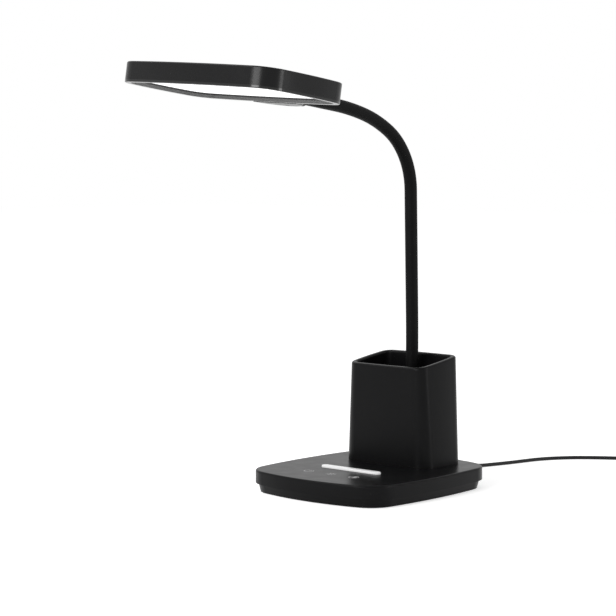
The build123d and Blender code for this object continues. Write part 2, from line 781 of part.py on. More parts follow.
with BuildPart() as cord_coil:
    with BuildLine() as winding:
        Line(coil_point(0) - Vector(cord_diameter, 0, 0), coil_point(0))
        for step in range(coil_half_turns):
            start, end = coil_point(step), coil_point(step + 1)
            heading = Vector(1 if step % 2 == 0 else -1, 0, 0)
            apex = (start + end) / 2 + heading * ((end - start).length / 2)
            turned = (apex - start).normalized()
            TangentArc(start, apex, tangent=heading)
            TangentArc(apex, end, tangent=turned * 2 * turned.dot(heading) - heading)
        Line(coil_end, coil_end + end_heading * cord_diameter)
    with BuildSketch(Plane(origin=coil_point(0) - Vector(cord_diameter, 0, 0), z_dir=(1, 0, 0))):
        Circle(cord_radius)
    sweep(path=winding.wires()[0])
finish(cord_coil, "cord_coil")

winding_wire = winding.wires()[0]
coil_length = winding_wire.length
samples = 1200
beads = [winding_wire.position_at(index / samples) for index in range(samples + 1)]
apart = int(samples * pi * coil_radius(coil_in_half_turns) / coil_length)
least_gap = min(
    (beads[first] - beads[second]).length
    for first in range(0, samples + 1, 2)
    for second in range(first + apart, samples + 1, 2)
) - cord_diameter
print("coil length %.1f, least gap to itself %.2f, volume ratio %.4f" % (
    coil_length, least_gap, cord_coil.part.volume / (pi * cord_radius**2 * coil_length)))

tail_start = coil_end + end_heading * cord_diameter
plug_axis_height = plug_height / 2 + desk_gap
tail_points = [
    tail_start,
    tail_start + end_heading * 14,
    tail_start + end_heading * 34 + Vector(0, -3, plug_axis_height - coil_end.Z),
    tail_start + end_heading * 50 + Vector(0, -3, plug_axis_height - coil_end.Z),
]
tail_cord_length = cord_tube([tuple(point) for point in tail_points], "cord_tail")
print("cord from grommet to plug %.1f" % (lead_length + coil_length + tail_cord_length))

# The band goes round the turns in front of the coil's centre.
tie_turns = [coil_radius(step) for step in range(coil_half_turns + 1) if step % 2 == 1]
tie_inner_radius = min(tie_turns) - cord_radius - tie_gap
tie_sag = tie_inner_radius - (tie_inner_radius**2 - (tie_width / 2) ** 2) ** 0.5
tie_front = coil_y - max(tie_turns) - cord_radius - tie_gap
tie_back = coil_y - tie_inner_radius + tie_sag + tie_gap
tie_low = coil_height - cord_radius - tie_gap
tie_high = coil_height + coil_pitch + cord_radius + tie_gap
with BuildPart() as coil_tie:
    with BuildSketch(Plane(origin=(coil_x - tie_width / 2, 0, 0), x_dir=(0, 1, 0), z_dir=(1, 0, 0))):
        with Locations(((tie_front + tie_back) / 2, (tie_low + tie_high) / 2)):
            RectangleRounded(
                tie_back - tie_front + 2 * tie_thickness, tie_high - tie_low + 2 * tie_thickness, cord_radius
            )
            RectangleRounded(
                tie_back - tie_front, tie_high - tie_low, cord_radius - tie_thickness, mode=Mode.SUBTRACT
            )
    extrude(amount=tie_width)
finish(coil_tie, "coil_tie")

# ================================================================ plug
plug_plane = Plane(origin=tail_points[-1], x_dir=(0, 1, 0), z_dir=tuple(end_heading))
with BuildPart() as plug_body:
    with BuildSketch(plug_plane):
        Circle(plug_relief_diameter / 2)
    with BuildSketch(plug_plane.offset(plug_relief_length)):
        Circle(plug_relief_diameter / 2 + plug_relief_swell)
    loft()
    with BuildSketch(plug_plane.offset(plug_relief_length)):
        RectangleRounded(plug_width, plug_height, plug_round)
    extrude(amount=plug_length)
    fillet(plug_body.faces().sort_by(Axis.X)[-1 if coil_ends_behind else 0].edges(), plug_edge_round)
finish(plug_body, "plug_body")

plug_face = plug_relief_length + plug_length
with BuildPart() as plug_shell:
    with BuildSketch(plug_plane.offset(plug_face)):
        RectangleRounded(plug_shell_width, plug_shell_height, plug_shell_corner)
        RectangleRounded(
            plug_shell_width - 2 * plug_shell_wall,
            plug_shell_height - 2 * plug_shell_wall,
            plug_shell_corner - plug_shell_wall,
            mode=Mode.SUBTRACT,
        )
    extrude(amount=plug_shell_length)
finish(plug_shell, "plug_shell")

tongue_width = plug_shell_width - 2 * plug_shell_wall - 2 * fit_gap
tongue_centre = plug_shell_height / 2 - plug_shell_wall - fit_gap - plug_tongue_thickness / 2
with BuildPart() as plug_tongue:
    with BuildSketch(plug_plane.offset(plug_face)):
        with Locations((0, -tongue_centre if coil_ends_behind else tongue_centre)):
            Rectangle(tongue_width, plug_tongue_thickness)
    extrude(amount=plug_tongue_length)
finish(plug_tongue, "plug_tongue")

contact_side = tongue_centre - plug_tongue_thickness / 2 - plug_contact_thickness / 2
with BuildPart() as plug_contacts:
    with BuildSketch(plug_plane.offset(plug_face)):
        with Locations((0, -contact_side if coil_ends_behind else contact_side)):
            with GridLocations(plug_contact_pitch, 1, plug_contact_count, 1):
                Rectangle(plug_contact_width, plug_contact_thickness)
    extrude(amount=plug_contact_length)
finish(plug_contacts, "plug_contacts")
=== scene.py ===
"""Desk lamp with a pen cup, a gooseneck and a wide flat head.

Looks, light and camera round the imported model.
"""
import json
from math import cos, pi, radians, sin

import bmesh
import bpy
from mathutils import Matrix, Vector

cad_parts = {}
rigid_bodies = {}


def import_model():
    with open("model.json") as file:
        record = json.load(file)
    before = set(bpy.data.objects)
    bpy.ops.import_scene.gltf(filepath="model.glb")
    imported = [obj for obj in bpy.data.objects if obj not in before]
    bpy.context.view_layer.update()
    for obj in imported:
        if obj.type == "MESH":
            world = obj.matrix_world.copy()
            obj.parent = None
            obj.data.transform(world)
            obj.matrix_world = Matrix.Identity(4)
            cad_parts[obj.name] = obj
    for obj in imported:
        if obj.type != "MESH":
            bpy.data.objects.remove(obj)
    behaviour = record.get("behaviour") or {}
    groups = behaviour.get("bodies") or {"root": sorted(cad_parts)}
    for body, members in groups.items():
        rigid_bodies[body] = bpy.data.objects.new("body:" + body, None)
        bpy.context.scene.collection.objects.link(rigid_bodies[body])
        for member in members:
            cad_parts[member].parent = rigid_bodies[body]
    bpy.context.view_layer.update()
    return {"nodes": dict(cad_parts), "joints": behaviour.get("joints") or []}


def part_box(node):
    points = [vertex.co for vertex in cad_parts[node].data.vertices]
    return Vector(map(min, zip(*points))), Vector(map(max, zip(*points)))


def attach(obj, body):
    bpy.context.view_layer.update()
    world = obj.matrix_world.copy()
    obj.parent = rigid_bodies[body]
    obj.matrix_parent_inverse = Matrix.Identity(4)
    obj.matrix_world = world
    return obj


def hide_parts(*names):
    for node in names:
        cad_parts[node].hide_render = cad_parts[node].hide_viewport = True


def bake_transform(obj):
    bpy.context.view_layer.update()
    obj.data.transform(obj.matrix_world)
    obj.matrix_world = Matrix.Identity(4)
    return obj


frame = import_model()
nodes = frame["nodes"]
MM = 0.001

# ---------------------------------------------------------------- camera
CAMERA_PLACE = Vector((1.1174, -1.3502, 0.2980))
CAMERA_AZIMUTH = 41.36
CAMERA_PITCH = 4.589
CAMERA_ROLL = 0.105
CAMERA_LENS = 119.44
CAMERA_NEAR, CAMERA_FAR = 0.1, 20


def make_camera():
    """The photograph's camera: level axes turned by azimuth and pitch, then a touch of roll."""
    azimuth, pitch, roll = radians(CAMERA_AZIMUTH), radians(CAMERA_PITCH), radians(CAMERA_ROLL)
    forward = Vector((-sin(azimuth) * cos(pitch), cos(azimuth) * cos(pitch), -sin(pitch)))
    right = Vector((cos(azimuth), sin(azimuth), 0))
    up = right.cross(forward)
    right, up = right * cos(roll) + up * sin(roll), up * cos(roll) - right * sin(roll)
    data = bpy.data.cameras.new("camera")
    data.lens = CAMERA_LENS
    data.clip_start, data.clip_end = CAMERA_NEAR, CAMERA_FAR
    camera = bpy.data.objects.new("camera", data)
    bpy.context.scene.collection.objects.link(camera)
    axes = Matrix((right, up, -forward)).transposed()
    camera.matrix_world = Matrix.Translation(CAMERA_PLACE) @ axes.to_4x4()
    bpy.context.scene.camera = camera


make_camera()


# ---------------------------------------------------------------- small tools
def new_object(name, data, material=None):
    """Links a new object, with its material."""
    made = bpy.data.objects.new(name, data)
    bpy.context.scene.collection.objects.link(made)
    if material:
        data.materials.append(material)
    return made


def mesh_from(name, points, faces, material, smooth=True):
    """A mesh object from lists of points and faces."""
    mesh = bpy.data.meshes.new(name)
    mesh.from_pydata([tuple(point) for point in points], [], faces)
    mesh.validate()
    tidy = bmesh.new()
    tidy.from_mesh(mesh)
    bmesh.ops.recalc_face_normals(tidy, faces=tidy.faces)
    tidy.to_mesh(mesh)
    tidy.free()
    for polygon in mesh.polygons:
        polygon.use_smooth = smooth
    return new_object(name, mesh, material)


def rings_to_faces(ring_count, size, closed_ends=(False, False)):
    """Faces that join rings of points, one after another, with end caps where asked."""
    faces = []
    for ring in range(ring_count - 1):
        for step in range(size):
            after = (step + 1) % size
            a, b = ring * size, (ring + 1) * size
            faces.append((a + step, a + after, b + after, b + step))
    if closed_ends[0]:
        faces.append(tuple(range(size - 1, -1, -1)))
    if closed_ends[1]:
        faces.append(tuple((ring_count - 1) * size + step for step in range(size)))
    return faces


# ---------------------------------------------------------------- materials
GRAIN_DETAIL = 3.0
PLASTIC_BUMP = 0.0001         # m
METAL_GRAIN = (400.0, 0.15, 0.0002)                      # scale, strength, height of the bump in m
OPAL_GRAIN = (700.0, 0.08, PLASTIC_BUMP)
MOTTLE_DETAIL = 4.0
MOTTLE_LOW, MOTTLE_HIGH = 0.3, 0.7                       # the noise between these spans the whole mottle
COLOUR_MOTTLE, GLOSS_MOTTLE, METAL_MOTTLE, OPAL_MOTTLE = 14.0, 90.0, 60.0, 20.0     # noise scales
METAL_SMOOTHER, METAL_ROUGHER = 0.06, 0.08
OPAL_ROUGHNESS, OPAL_SPREAD = 0.3, 0.02


def shader(name, colour, roughness, **inputs):
    """A material with a Principled shader; inputs go by their socket names, with _ for spaces."""
    material = bpy.data.materials.new(name)
    material.use_nodes = True
    tree = material.node_tree
    principled = tree.nodes["Principled BSDF"]
    principled.inputs["Base Color"].default_value = (*colour, 1)
    principled.inputs["Roughness"].default_value = roughness
    for socket, value in inputs.items():
        principled.inputs[socket.replace("_", " ")].default_value = value
    return material, tree, principled


def grain(tree, principled, scale, strength, distance):
    """Fine moulded grain: a bump from noise in object space. Returns the coordinates for other noise."""
    place = tree.nodes.new("ShaderNodeTexCoord")
    noise = tree.nodes.new("ShaderNodeTexNoise")
    noise.inputs["Scale"].default_value = scale
    noise.inputs["Detail"].default_value = GRAIN_DETAIL
    bump = tree.nodes.new("ShaderNodeBump")
    bump.inputs["Strength"].default_value = strength
    bump.inputs["Distance"].default_value = distance
    tree.links.new(place.outputs["Object"], noise.inputs["Vector"])
    tree.links.new(noise.outputs["Fac"], bump.inputs["Height"])
    tree.links.new(bump.outputs["Normal"], principled.inputs["Normal"])
    return place


def mottled(tree, principled, place, scale, dark, light, socket="Base Color"):
    """Slow, faint variation of colour or roughness over the surface."""
    noise = tree.nodes.new("ShaderNodeTexNoise")
    noise.inputs["Scale"].default_value = scale
    noise.inputs["Detail"].default_value = MOTTLE_DETAIL
    ramp = tree.nodes.new("ShaderNodeMapRange")
    ramp.inputs["From Min"].default_value = MOTTLE_LOW
    ramp.inputs["From Max"].default_value = MOTTLE_HIGH
    tree.links.new(place.outputs["Object"], noise.inputs["Vector"])
    tree.links.new(noise.outputs["Fac"], ramp.inputs["Value"])
    if socket == "Roughness":
        ramp.inputs["To Min"].default_value, ramp.inputs["To Max"].default_value = dark, light
        tree.links.new(ramp.outputs["Result"], principled.inputs["Roughness"])
        return
    mix = tree.nodes.new("ShaderNodeMix")
    mix.data_type = "RGBA"
    mix.inputs["A"].default_value = (*dark, 1)
    mix.inputs["B"].default_value = (*light, 1)
    tree.links.new(ramp.outputs["Result"], mix.inputs["Factor"])
    tree.links.new(mix.outputs["Result"], principled.inputs["Base Color"])


def moulded_plastic(
    name, dark, light, rough_low, rough_high, grain_scale=900.0, grain_strength=0.25, level=0.5
):
    """Satin moulded plastic with a fine spark-eroded grain and slightly uneven gloss."""
    material, tree, principled = shader(name, dark, rough_low, Specular_IOR_Level=level)
    place = grain(tree, principled, grain_scale, grain_strength, PLASTIC_BUMP)
    mottled(tree, principled, place, COLOUR_MOTTLE, dark, light)
    mottled(tree, principled, place, GLOSS_MOTTLE, rough_low, rough_high, "Roughness")
    return material


def plain_metal(name, colour, roughness):
    """Bare metal with slightly uneven gloss."""
    material, tree, principled = shader(name, colour, roughness, Metallic=1.0)
    place = grain(tree, principled, *METAL_GRAIN)
    low, high = roughness - METAL_SMOOTHER, roughness + METAL_ROUGHER
    mottled(tree, principled, place, METAL_MOTTLE, low, high, "Roughness")
    return material


HOUSING_DARK, HOUSING_LIGHT = (0.003, 0.003, 0.0033), (0.0042, 0.0042, 0.0045)
RIM_DARK, RIM_LIGHT = (0.007, 0.007, 0.0073), (0.01, 0.01, 0.0103)
BLACK = moulded_plastic("black_abs", HOUSING_DARK, HOUSING_LIGHT, 0.29, 0.33, 900.0, 0.1, 0.08)
HEAD_BLACK = moulded_plastic("head_abs", HOUSING_DARK, HOUSING_LIGHT, 0.26, 0.29, 900.0, 0.1, 0.17)
RIM_BLACK = moulded_plastic("rim_abs", RIM_DARK, RIM_LIGHT, 0.16, 0.2, 900.0, 0.1, 0.3)

HEAD_CENTRE = (0, -0.17203, 0.34603)                     # m, the head's middle at rest
HEAD_UP = (0.0511, 0.1217, 0.9913)                       # its own upward direction at rest
LIP_PAINTED_LIGHT = 0.085              # painted light: the rim's reveal round the diffuser is painted a paler grey than its outside, standing in for the light it catches from below
LIP_TOP = -0.0058             # the reveal's upper edge, m above the head's middle
LIP_INWARD = -0.02            # m, how strongly a face has to look towards the middle


def paint_lip_light(material):
    """Paints light on the rim's reveal: greys the low faces that look inwards, found in the piece's own
    space.
    """
    tree = material.node_tree
    principled = tree.nodes["Principled BSDF"]
    place = tree.nodes.new("ShaderNodeTexCoord")

    def vector_math(operation, first, second):
        made = tree.nodes.new("ShaderNodeVectorMath")
        made.operation = operation
        tree.links.new(first, made.inputs[0])
        if isinstance(second, tuple):
            made.inputs[1].default_value = second
        else:
            tree.links.new(second, made.inputs[1])
        return made.outputs["Vector" if operation == "SUBTRACT" else "Value"]

    def below(value, limit):
        made = tree.nodes.new("ShaderNodeMath")
        made.operation = "LESS_THAN"
        tree.links.new(value, made.inputs[0])
        made.inputs[1].default_value = limit
        return made.outputs[0]

    from_centre = vector_math("SUBTRACT", place.outputs["Object"], HEAD_CENTRE)
    inward = below(vector_math("DOT_PRODUCT", place.outputs["Normal"], from_centre), LIP_INWARD)
    low = below(vector_math("DOT_PRODUCT", from_centre, HEAD_UP), LIP_TOP)
    both = tree.nodes.new("ShaderNodeMath")
    both.operation = "MULTIPLY"
    tree.links.new(inward, both.inputs[0])
    tree.links.new(low, both.inputs[1])
    # painted light: the reveal's low inward faces take the paler grey in place of the light they catch
    mix = tree.nodes.new("ShaderNodeMix")
    mix.data_type = "RGBA"
    tree.links.new(both.outputs[0], mix.inputs["Factor"])
    tree.links.new(principled.inputs["Base Color"].links[0].from_socket, mix.inputs["A"])
    mix.inputs["B"].default_value = (LIP_PAINTED_LIGHT, LIP_PAINTED_LIGHT, LIP_PAINTED_LIGHT, 1)
    tree.links.new(mix.outputs["Result"], principled.inputs["Base Color"])


# painted light: a paler grey on the rim's reveal stands in for the light it catches from below
paint_lip_light(RIM_BLACK)
COLLAR_BLACK = moulded_plastic(
    "collar_abs", (0.004, 0.004, 0.004), (0.006, 0.006, 0.006), 0.3, 0.38, level=0.12
)
WHITE_PLASTIC = moulded_plastic("white_plastic", (0.78, 0.78, 0.77), (0.83, 0.83, 0.82), 0.4, 0.5)
SLEEVE = moulded_plastic(
    "neck_silicone", (0.0028, 0.0028, 0.0029), (0.004, 0.004, 0.0042), 0.5, 0.58, 1400.0, 0.3, level=0.06
)
RUBBER = moulded_plastic(
    "mat_rubber", (0.015, 0.015, 0.015), (0.022, 0.022, 0.022), 0.75, 0.85, 500.0, 0.5
)
CORD_BLACK = moulded_plastic(
    "cord_pvc", (0.006, 0.006, 0.0065), (0.008, 0.008, 0.0085), 0.38, 0.46, 700.0, 0.2, level=0.2
)
STEEL = plain_metal("zinc_steel", (0.5, 0.5, 0.51), 0.35)
NICKEL = plain_metal("nickel_shell", (0.36, 0.36, 0.37), 0.24)
COPPER = plain_metal("plated_copper", (0.75, 0.5, 0.3), 0.3)
BOARD = moulded_plastic("board_mask", (0.74, 0.75, 0.74), (0.8, 0.81, 0.8), 0.35, 0.45)
PHOSPHOR = moulded_plastic("led_phosphor", (0.86, 0.72, 0.22), (0.9, 0.78, 0.3), 0.3, 0.4)
BAND = moulded_plastic("tie_band", (0.01, 0.01, 0.011), (0.02, 0.02, 0.022), 0.8, 0.9, 1200.0, 0.9)


def opal(name, body, glow):
    """Milky diffuser: white plastic that glows evenly from the lights behind it."""
    material, tree, principled = shader(name, (body, body, body), OPAL_ROUGHNESS)
    principled.inputs["Emission Color"].default_value = (1, 1, 1, 1)
    principled.inputs["Emission Strength"].default_value = glow
    place = grain(tree, principled, *OPAL_GRAIN)
    mottled(tree, principled, place, OPAL_MOTTLE, (body - OPAL_SPREAD,) * 3, (body + OPAL_SPREAD,) * 3)
    return material


DIFFUSER = opal("opal_diffuser", 0.92, 1.0)
BAR = opal("opal_bar", 0.62, 0.2)
PRINT = moulded_plastic("pad_print", (0.34, 0.34, 0.34), (0.4, 0.4, 0.4), 0.5, 0.6, 1500.0, 0.15)

NODE_MATERIALS = {
    "base_top_shell": BLACK, "base_bottom_shell": BLACK, "pen_cup": BLACK, "head_shell": HEAD_BLACK,
    "head_rim": RIM_BLACK, "diffuser": DIFFUSER, "light_bar": BAR, "non_slip_mat": RUBBER,
    "neck_collar": COLLAR_BLACK, "reflector_frame": WHITE_PLASTIC,
    "ballast_plate": STEEL, "base_screws": STEEL, "board_screws": STEEL, "cup_screws": STEEL,
    "neck_socket": STEEL, "neck_washer": STEEL, "neck_nut": STEEL, "neck_set_screw": STEEL,
    "control_board": BOARD, "led_board": BOARD, "touch_springs": COPPER, "plug_contacts": COPPER,
    "bar_leds": PHOSPHOR, "led_chips": PHOSPHOR, "coil_tie": BAND,
    "plug_shell": NICKEL, "plug_tongue": WHITE_PLASTIC,
}
for node_name, node_material in NODE_MATERIALS.items():
    node = nodes[node_name]
    if not node.data.materials:
        node.data.materials.append(node_material)
    for slot_index in range(len(node.data.materials)):
        node.data.materials[slot_index] = node_material


# ---------------------------------------------------------------- gooseneck sleeve
LINK_LENGTHS = [35.0, 35.0, 35.0, 35.0, 32.0, 32.0, 36.0, 36.0, 53.0]   # mm, joint to joint
LINK_TURNS = [1.5, 0.0, 0.0, 0.0, 31.1, 28.0, 14.4, 7.8, 0.2]          # degrees towards the front
NECK_RADIUS = 5.5 * MM
SLEEVE_HIDDEN = 6.0           # mm of sleeve's end left out, inside the collar
SLEEVE_STEP = 1.5             # mm between rings
SLEEVE_SIDES = 48


def neck_station(distance):
    """Place and direction of the neck's centre line, at a distance in mm above the first joint."""
    joint = Vector(frame["joints"][0]["pos_m"])
    y, z, lean = joint.y / MM, joint.z / MM, 0.0
    if distance <= 0:
        return Vector((0, y, z + distance)) * MM, Vector((0, 0, 1))
    for length, turn in zip(LINK_LENGTHS, LINK_TURNS):
        share = min(distance / length, 1.0)
        run, half = length * share, radians(turn) * share / 2
        chord = run if half == 0 else run * sin(half) / half
        y -= chord * sin(lean + half)
        z += chord * cos(lean + half)
        lean += 2 * half
        distance -= run
        if share < 1.0:
            break
    return Vector((0, y, z)) * MM, Vector((0, -sin(lean), cos(lean)))


def sleeve_piece(name, first, last):
    """A stretch of smooth silicone sleeve between two distances along the neck."""
    count = max(2, int(round((last - first) / SLEEVE_STEP)) + 1)
    points = []
    for ring in range(count):
        centre, direction = neck_station(first + (last - first) * ring / (count - 1))
        side = Vector((1, 0, 0))
        across = direction.cross(side)
        for step in range(SLEEVE_SIDES):
            turn = 2 * pi * step / SLEEVE_SIDES
            points.append(centre + (side * cos(turn) + across * sin(turn)) * NECK_RADIUS)
    piece = mesh_from(name, points, rings_to_faces(count, SLEEVE_SIDES), SLEEVE)
    return piece


def make_sleeve():
    """One sleeve piece over each joint, from the middle of a link to the middle of the next."""
    joint_at = [sum(LINK_LENGTHS[:index]) for index in range(len(LINK_LENGTHS) + 1)]
    bodies = [frame["joints"][0]["parent"]] + [joint["child"] for joint in frame["joints"]]
    foot = (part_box("neck_lower_tube")[0][2] - frame["joints"][0]["pos_m"][2]) / MM
    for index, joint in enumerate(frame["joints"]):
        before = foot if index == 0 else joint_at[index] - LINK_LENGTHS[index - 1] / 2
        after = joint_at[index] + LINK_LENGTHS[index] / 2
        piece = sleeve_piece("neck_sleeve_%d" % (index + 1), before, after)
        reach = min(joint_at[index] - before, after - joint_at[index])
        start, _ = neck_station(joint_at[index] - reach)
        end, _ = neck_station(joint_at[index] + reach)
        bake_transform(piece)
        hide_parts("neck_link_%d" % (index + 1), *(["neck_lower_tube"] if index == 0 else []))
    middle = joint_at[-2] + LINK_LENGTHS[-1] / 2
    last = sleeve_piece("neck_sleeve_end", middle, joint_at[-1] - SLEEVE_HIDDEN)
    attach(last, bodies[-1])


make_sleeve()


# ---------------------------------------------------------------- printed touch marks
MARK_REACH = 4.6              # mm from a mark's middle to its outermost stroke
MARK_STROKE = 0.9
MARK_THICKNESS = 0.05
MARK_LIFT = 0.01
ARC_STEPS = 28
POWER_RING = (118, 422)       # degrees, a ring that is open at its top
POWER_BAR_FOOT = 0.6
SUN_RADIUS = 1.9
SUN_RAYS = 8
RAY_FOOT = 3.1
TONE_INSET = 1.9              # mm from the tone mark's outer edge to its half disc


def arc(radius, start, end):
    """Points on an arc round a mark's middle, angles in degrees from +X."""
    return [
        (radius * cos(radians(start + (end - start) * step / ARC_STEPS)),
         radius * sin(radians(start + (end - start) * step / ARC_STEPS)))
        for step in range(ARC_STEPS + 1)
    ]


def stroke(line):
    """Outline of a pen stroke of even width along a line of points, as its left and right edges."""
    left, right = [], []
    for index, (x, y) in enumerate(line):
        (x0, y0), (x1, y1) = line[max(index - 1, 0)], line[min(index + 1, len(line) - 1)]
        along = Vector((x1 - x0, y1 - y0)).normalized() * MARK_STROKE / 2
        left.append((x - along.y, y + along.x))
        right.append((x + along.y, y - along.x))
    return left, right


def printed_mark(name, place, strokes):
    """A thin printed mark on the base's top: its strokes as low closed ribbons."""
    low = place.z + MARK_LIFT * MM
    points, faces = [], []
    for left, right in strokes:
        first = len(points)
        for (xl, yl), (xr, yr) in zip(left, right):
            for x, y, z in ((xl, yl, low), (xr, yr, low), (xr, yr, low + MARK_THICKNESS * MM),
                            (xl, yl, low + MARK_THICKNESS * MM)):
                points.append((place.x + x * MM, place.y + y * MM, z))
        faces += [tuple(first + corner for corner in face)
                  for face in rings_to_faces(len(left), 4, closed_ends=(True, True))]
    mark = mesh_from(name, points, faces, PRINT, smooth=False)
    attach(mark, "base")


def make_marks():
    """Switch, brightness and tone: one mark over each touch spring."""
    low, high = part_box("touch_springs")
    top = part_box("base_top_shell")[1][2]
    spring = (high[1] - low[1]) / 2
    row, left_x, right_x = (low[1] + high[1]) / 2, low[0] + spring, high[0] - spring
    ring = MARK_REACH - MARK_STROKE / 2
    power = [stroke(arc(ring, *POWER_RING)), stroke([(0, POWER_BAR_FOOT), (0, MARK_REACH)])]
    sun = [stroke(arc(SUN_RADIUS, 0, 360))]
    for ray in range(SUN_RAYS):
        turn = radians(360 / SUN_RAYS * ray)
        sun.append(stroke([(r * cos(turn), r * sin(turn)) for r in (RAY_FOOT, MARK_REACH)]))
    half_disc = arc(MARK_REACH - TONE_INSET, -90, 90)
    tone = [stroke(arc(ring, 0, 360)), (half_disc, [(0, y) for _, y in half_disc])]
    middle_x = (left_x + right_x) / 2
    for name, x, strokes in (
        ("mark_power", left_x, power), ("mark_light", middle_x, sun), ("mark_tone", right_x, tone)
    ):
        printed_mark(name, Vector((x, row, top)), strokes)


make_marks()

# ---------------------------------------------------------------- cord
CORD_DIAMETER = 3.3
CORD_REST = CORD_DIAMETER / 2 + 0.05
COIL_CENTRE = (130.0, 272.0)
COIL_OUTER = 28.4
COIL_PITCH = 4.45
COIL_IN, COIL_OUT = 8, 7      # half turns inwards and back outwards
COIL_LOW = 0.85 + CORD_DIAMETER / 2                      # the tie lies under the coil
POINTS_PER_HALF_TURN = 8

LEAD = [
    (0, 104.2, 12.5),
    (0, 117.2, 12.5),
    (-1, 136, 7.0),
    (-2, 157, CORD_REST),
    (5, 179, CORD_REST),
    (11.5, 203, CORD_REST),
    (17, 232, CORD_REST),
    (34, 259, CORD_REST),
    (61, 280, CORD_REST),
    (90, 296.4, CORD_REST),
    (114, 300.4, COIL_LOW),
]


def coil_radius(step):
    return COIL_OUTER - (min(step, COIL_IN) - max(step - COIL_IN - 1, 0)) * COIL_PITCH / 2


def coil_points():
    """Points of the put-away coil: half circles that close in, climb a layer and open out again."""
    swell = 1 / cos(pi / POINTS_PER_HALF_TURN / 2)      # the smooth line runs a little inside its points
    points = []
    for half_turn in range(COIL_IN + 1 + COIL_OUT):
        here, beyond = coil_radius(half_turn), coil_radius(half_turn + 1)
        side = 1 if half_turn % 2 == 0 else -1
        radius, shift = (here + beyond) / 2, (here - beyond) / 2 * side
        for step in range(POINTS_PER_HALF_TURN):
            angle = pi * step / POINTS_PER_HALF_TURN
            climb = (1 - cos(angle)) / 2 if half_turn == COIL_IN else float(half_turn > COIL_IN)
            points.append((
                COIL_CENTRE[0] + side * radius * swell * sin(angle),
                COIL_CENTRE[1] + shift + side * radius * swell * cos(angle),
                COIL_LOW + climb * COIL_PITCH,
            ))
    return points


COIL_END = (COIL_CENTRE[0], COIL_CENTRE[1] + coil_radius(COIL_IN + 1 + COIL_OUT), COIL_LOW + COIL_PITCH)
TAIL = [
    COIL_END,
    (COIL_END[0] + 17.3, COIL_END[1], COIL_END[2]),
    (COIL_END[0] + 37.3, COIL_END[1] - 3, 4.05),
    (COIL_END[0] + 53.3, COIL_END[1] - 3, 4.05),
]
CORD_SIDE_STEPS = 6
CORD_SPAN_STEPS = 6
CORD_ORDER = 3

RELIEF_RIB = 1.9              # mm from rib to rib of a bend protector
RELIEF_SLOPE = 0.18           # mm of rib over which its side rises
RELIEF_START = 0.45           # share of a rib before the first ring is cut
RELIEF_MARGIN = 0.5           # mm left uncut at the end
RELIEF_EDGE = 0.25            # mm, the end's bevel
SECTION_CORNER_POINTS = 10
MOULDED_SHARP = 38            # degrees, from which an edge stays sharp

FLANGE_RADIUS, FLANGE_THICKNESS = 4.0, 2
GROMMET_NECK_RADIUS = 3.1
BOOT_FOOT_RADIUS, BOOT_TIP_RADIUS, BOOT_GROOVE = 4.0, 2.5, 0.6
BOOT_GAP = 0.1                # mm between the boot and the wall

PLUG_RELIEF_LENGTH = 9.6
PLUG_TIP_RADIUS, PLUG_FOOT_RADIUS, PLUG_GROOVE = 2.7, 3.5, 0.5
PLUG_CORNER = 2.0
# mm from the cord's end of the plug, and the change from its full half width and half height
PLUG_SHOULDER = [(9.7, -2.6), (10.0, -1.4), (10.5, -0.7), (11.4, -0.2), (12.6, 0), (17, 0), (21, -0.25)]
PLUG_FACE = [(34, -0.25), (36.5, 0), (39.3, 0), (39.8, -0.2), (40.0, -0.6)]
GRIP_LINE = [(0, -0.3), (0.25, -0.65), (0.75, -0.65), (1.0, -0.3)]
GRIP_FIRST, GRIP_PITCH, GRIP_COUNT = 22.0, 2.2, 5


def section(half_wide, half_high, corner):
    """Points round a rounded rectangle; a circle where both halves equal the corner."""
    corners = ((1, 1, 0), (-1, 1, 90), (-1, -1, 180), (1, -1, 270))
    return [
        (wide * (half_wide - corner) + corner * cos(radians(turn + 90 * step / SECTION_CORNER_POINTS)),
         high * (half_high - corner) + corner * sin(radians(turn + 90 * step / SECTION_CORNER_POINTS)))
        for wide, high, turn in corners
        for step in range(SECTION_CORNER_POINTS + 1)
    ]


def relief_stations(first, last, radius_first, radius_last, groove):
    """Stations of a ribbed bend protector: a cone with rings cut into it."""
    def radius(at):
        return radius_first + (radius_last - radius_first) * (at - first) / (last - first)

    stations = [(first, radius(first))]
    for rib in range(int((last - first) / RELIEF_RIB)):
        edge = first + RELIEF_RIB * (rib + RELIEF_START)
        far = edge + RELIEF_RIB / 2
        if far > last - RELIEF_MARGIN:
            break
        cut = ((edge, 0), (edge + RELIEF_SLOPE, groove), (far - RELIEF_SLOPE, groove), (far, 0))
        stations += [(at, radius(at) - depth) for at, depth in cut]
    stations.append((last - RELIEF_EDGE, radius(last)))
    stations.append((last, radius(last) - RELIEF_EDGE))
    return [(at, size, size, size) for at, size in stations]


def moulded_body(name, origin, along, across, stations):
    """A moulded piece lofted through stations: distance, half width, half height and corner, in mm."""
    up = along.cross(across)
    points = []
    for at, half_wide, half_high, corner in stations:
        outline = section(half_wide, half_high, corner)
        points += [origin + (along * at + across * y + up * z) * MM for y, z in outline]
    size = len(points) // len(stations)
    body = mesh_from(name, points, rings_to_faces(len(stations), size, (True, True)), CORD_BLACK)
    body.data.set_sharp_from_angle(angle=radians(MOULDED_SHARP))
    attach(body, "base")
    return body


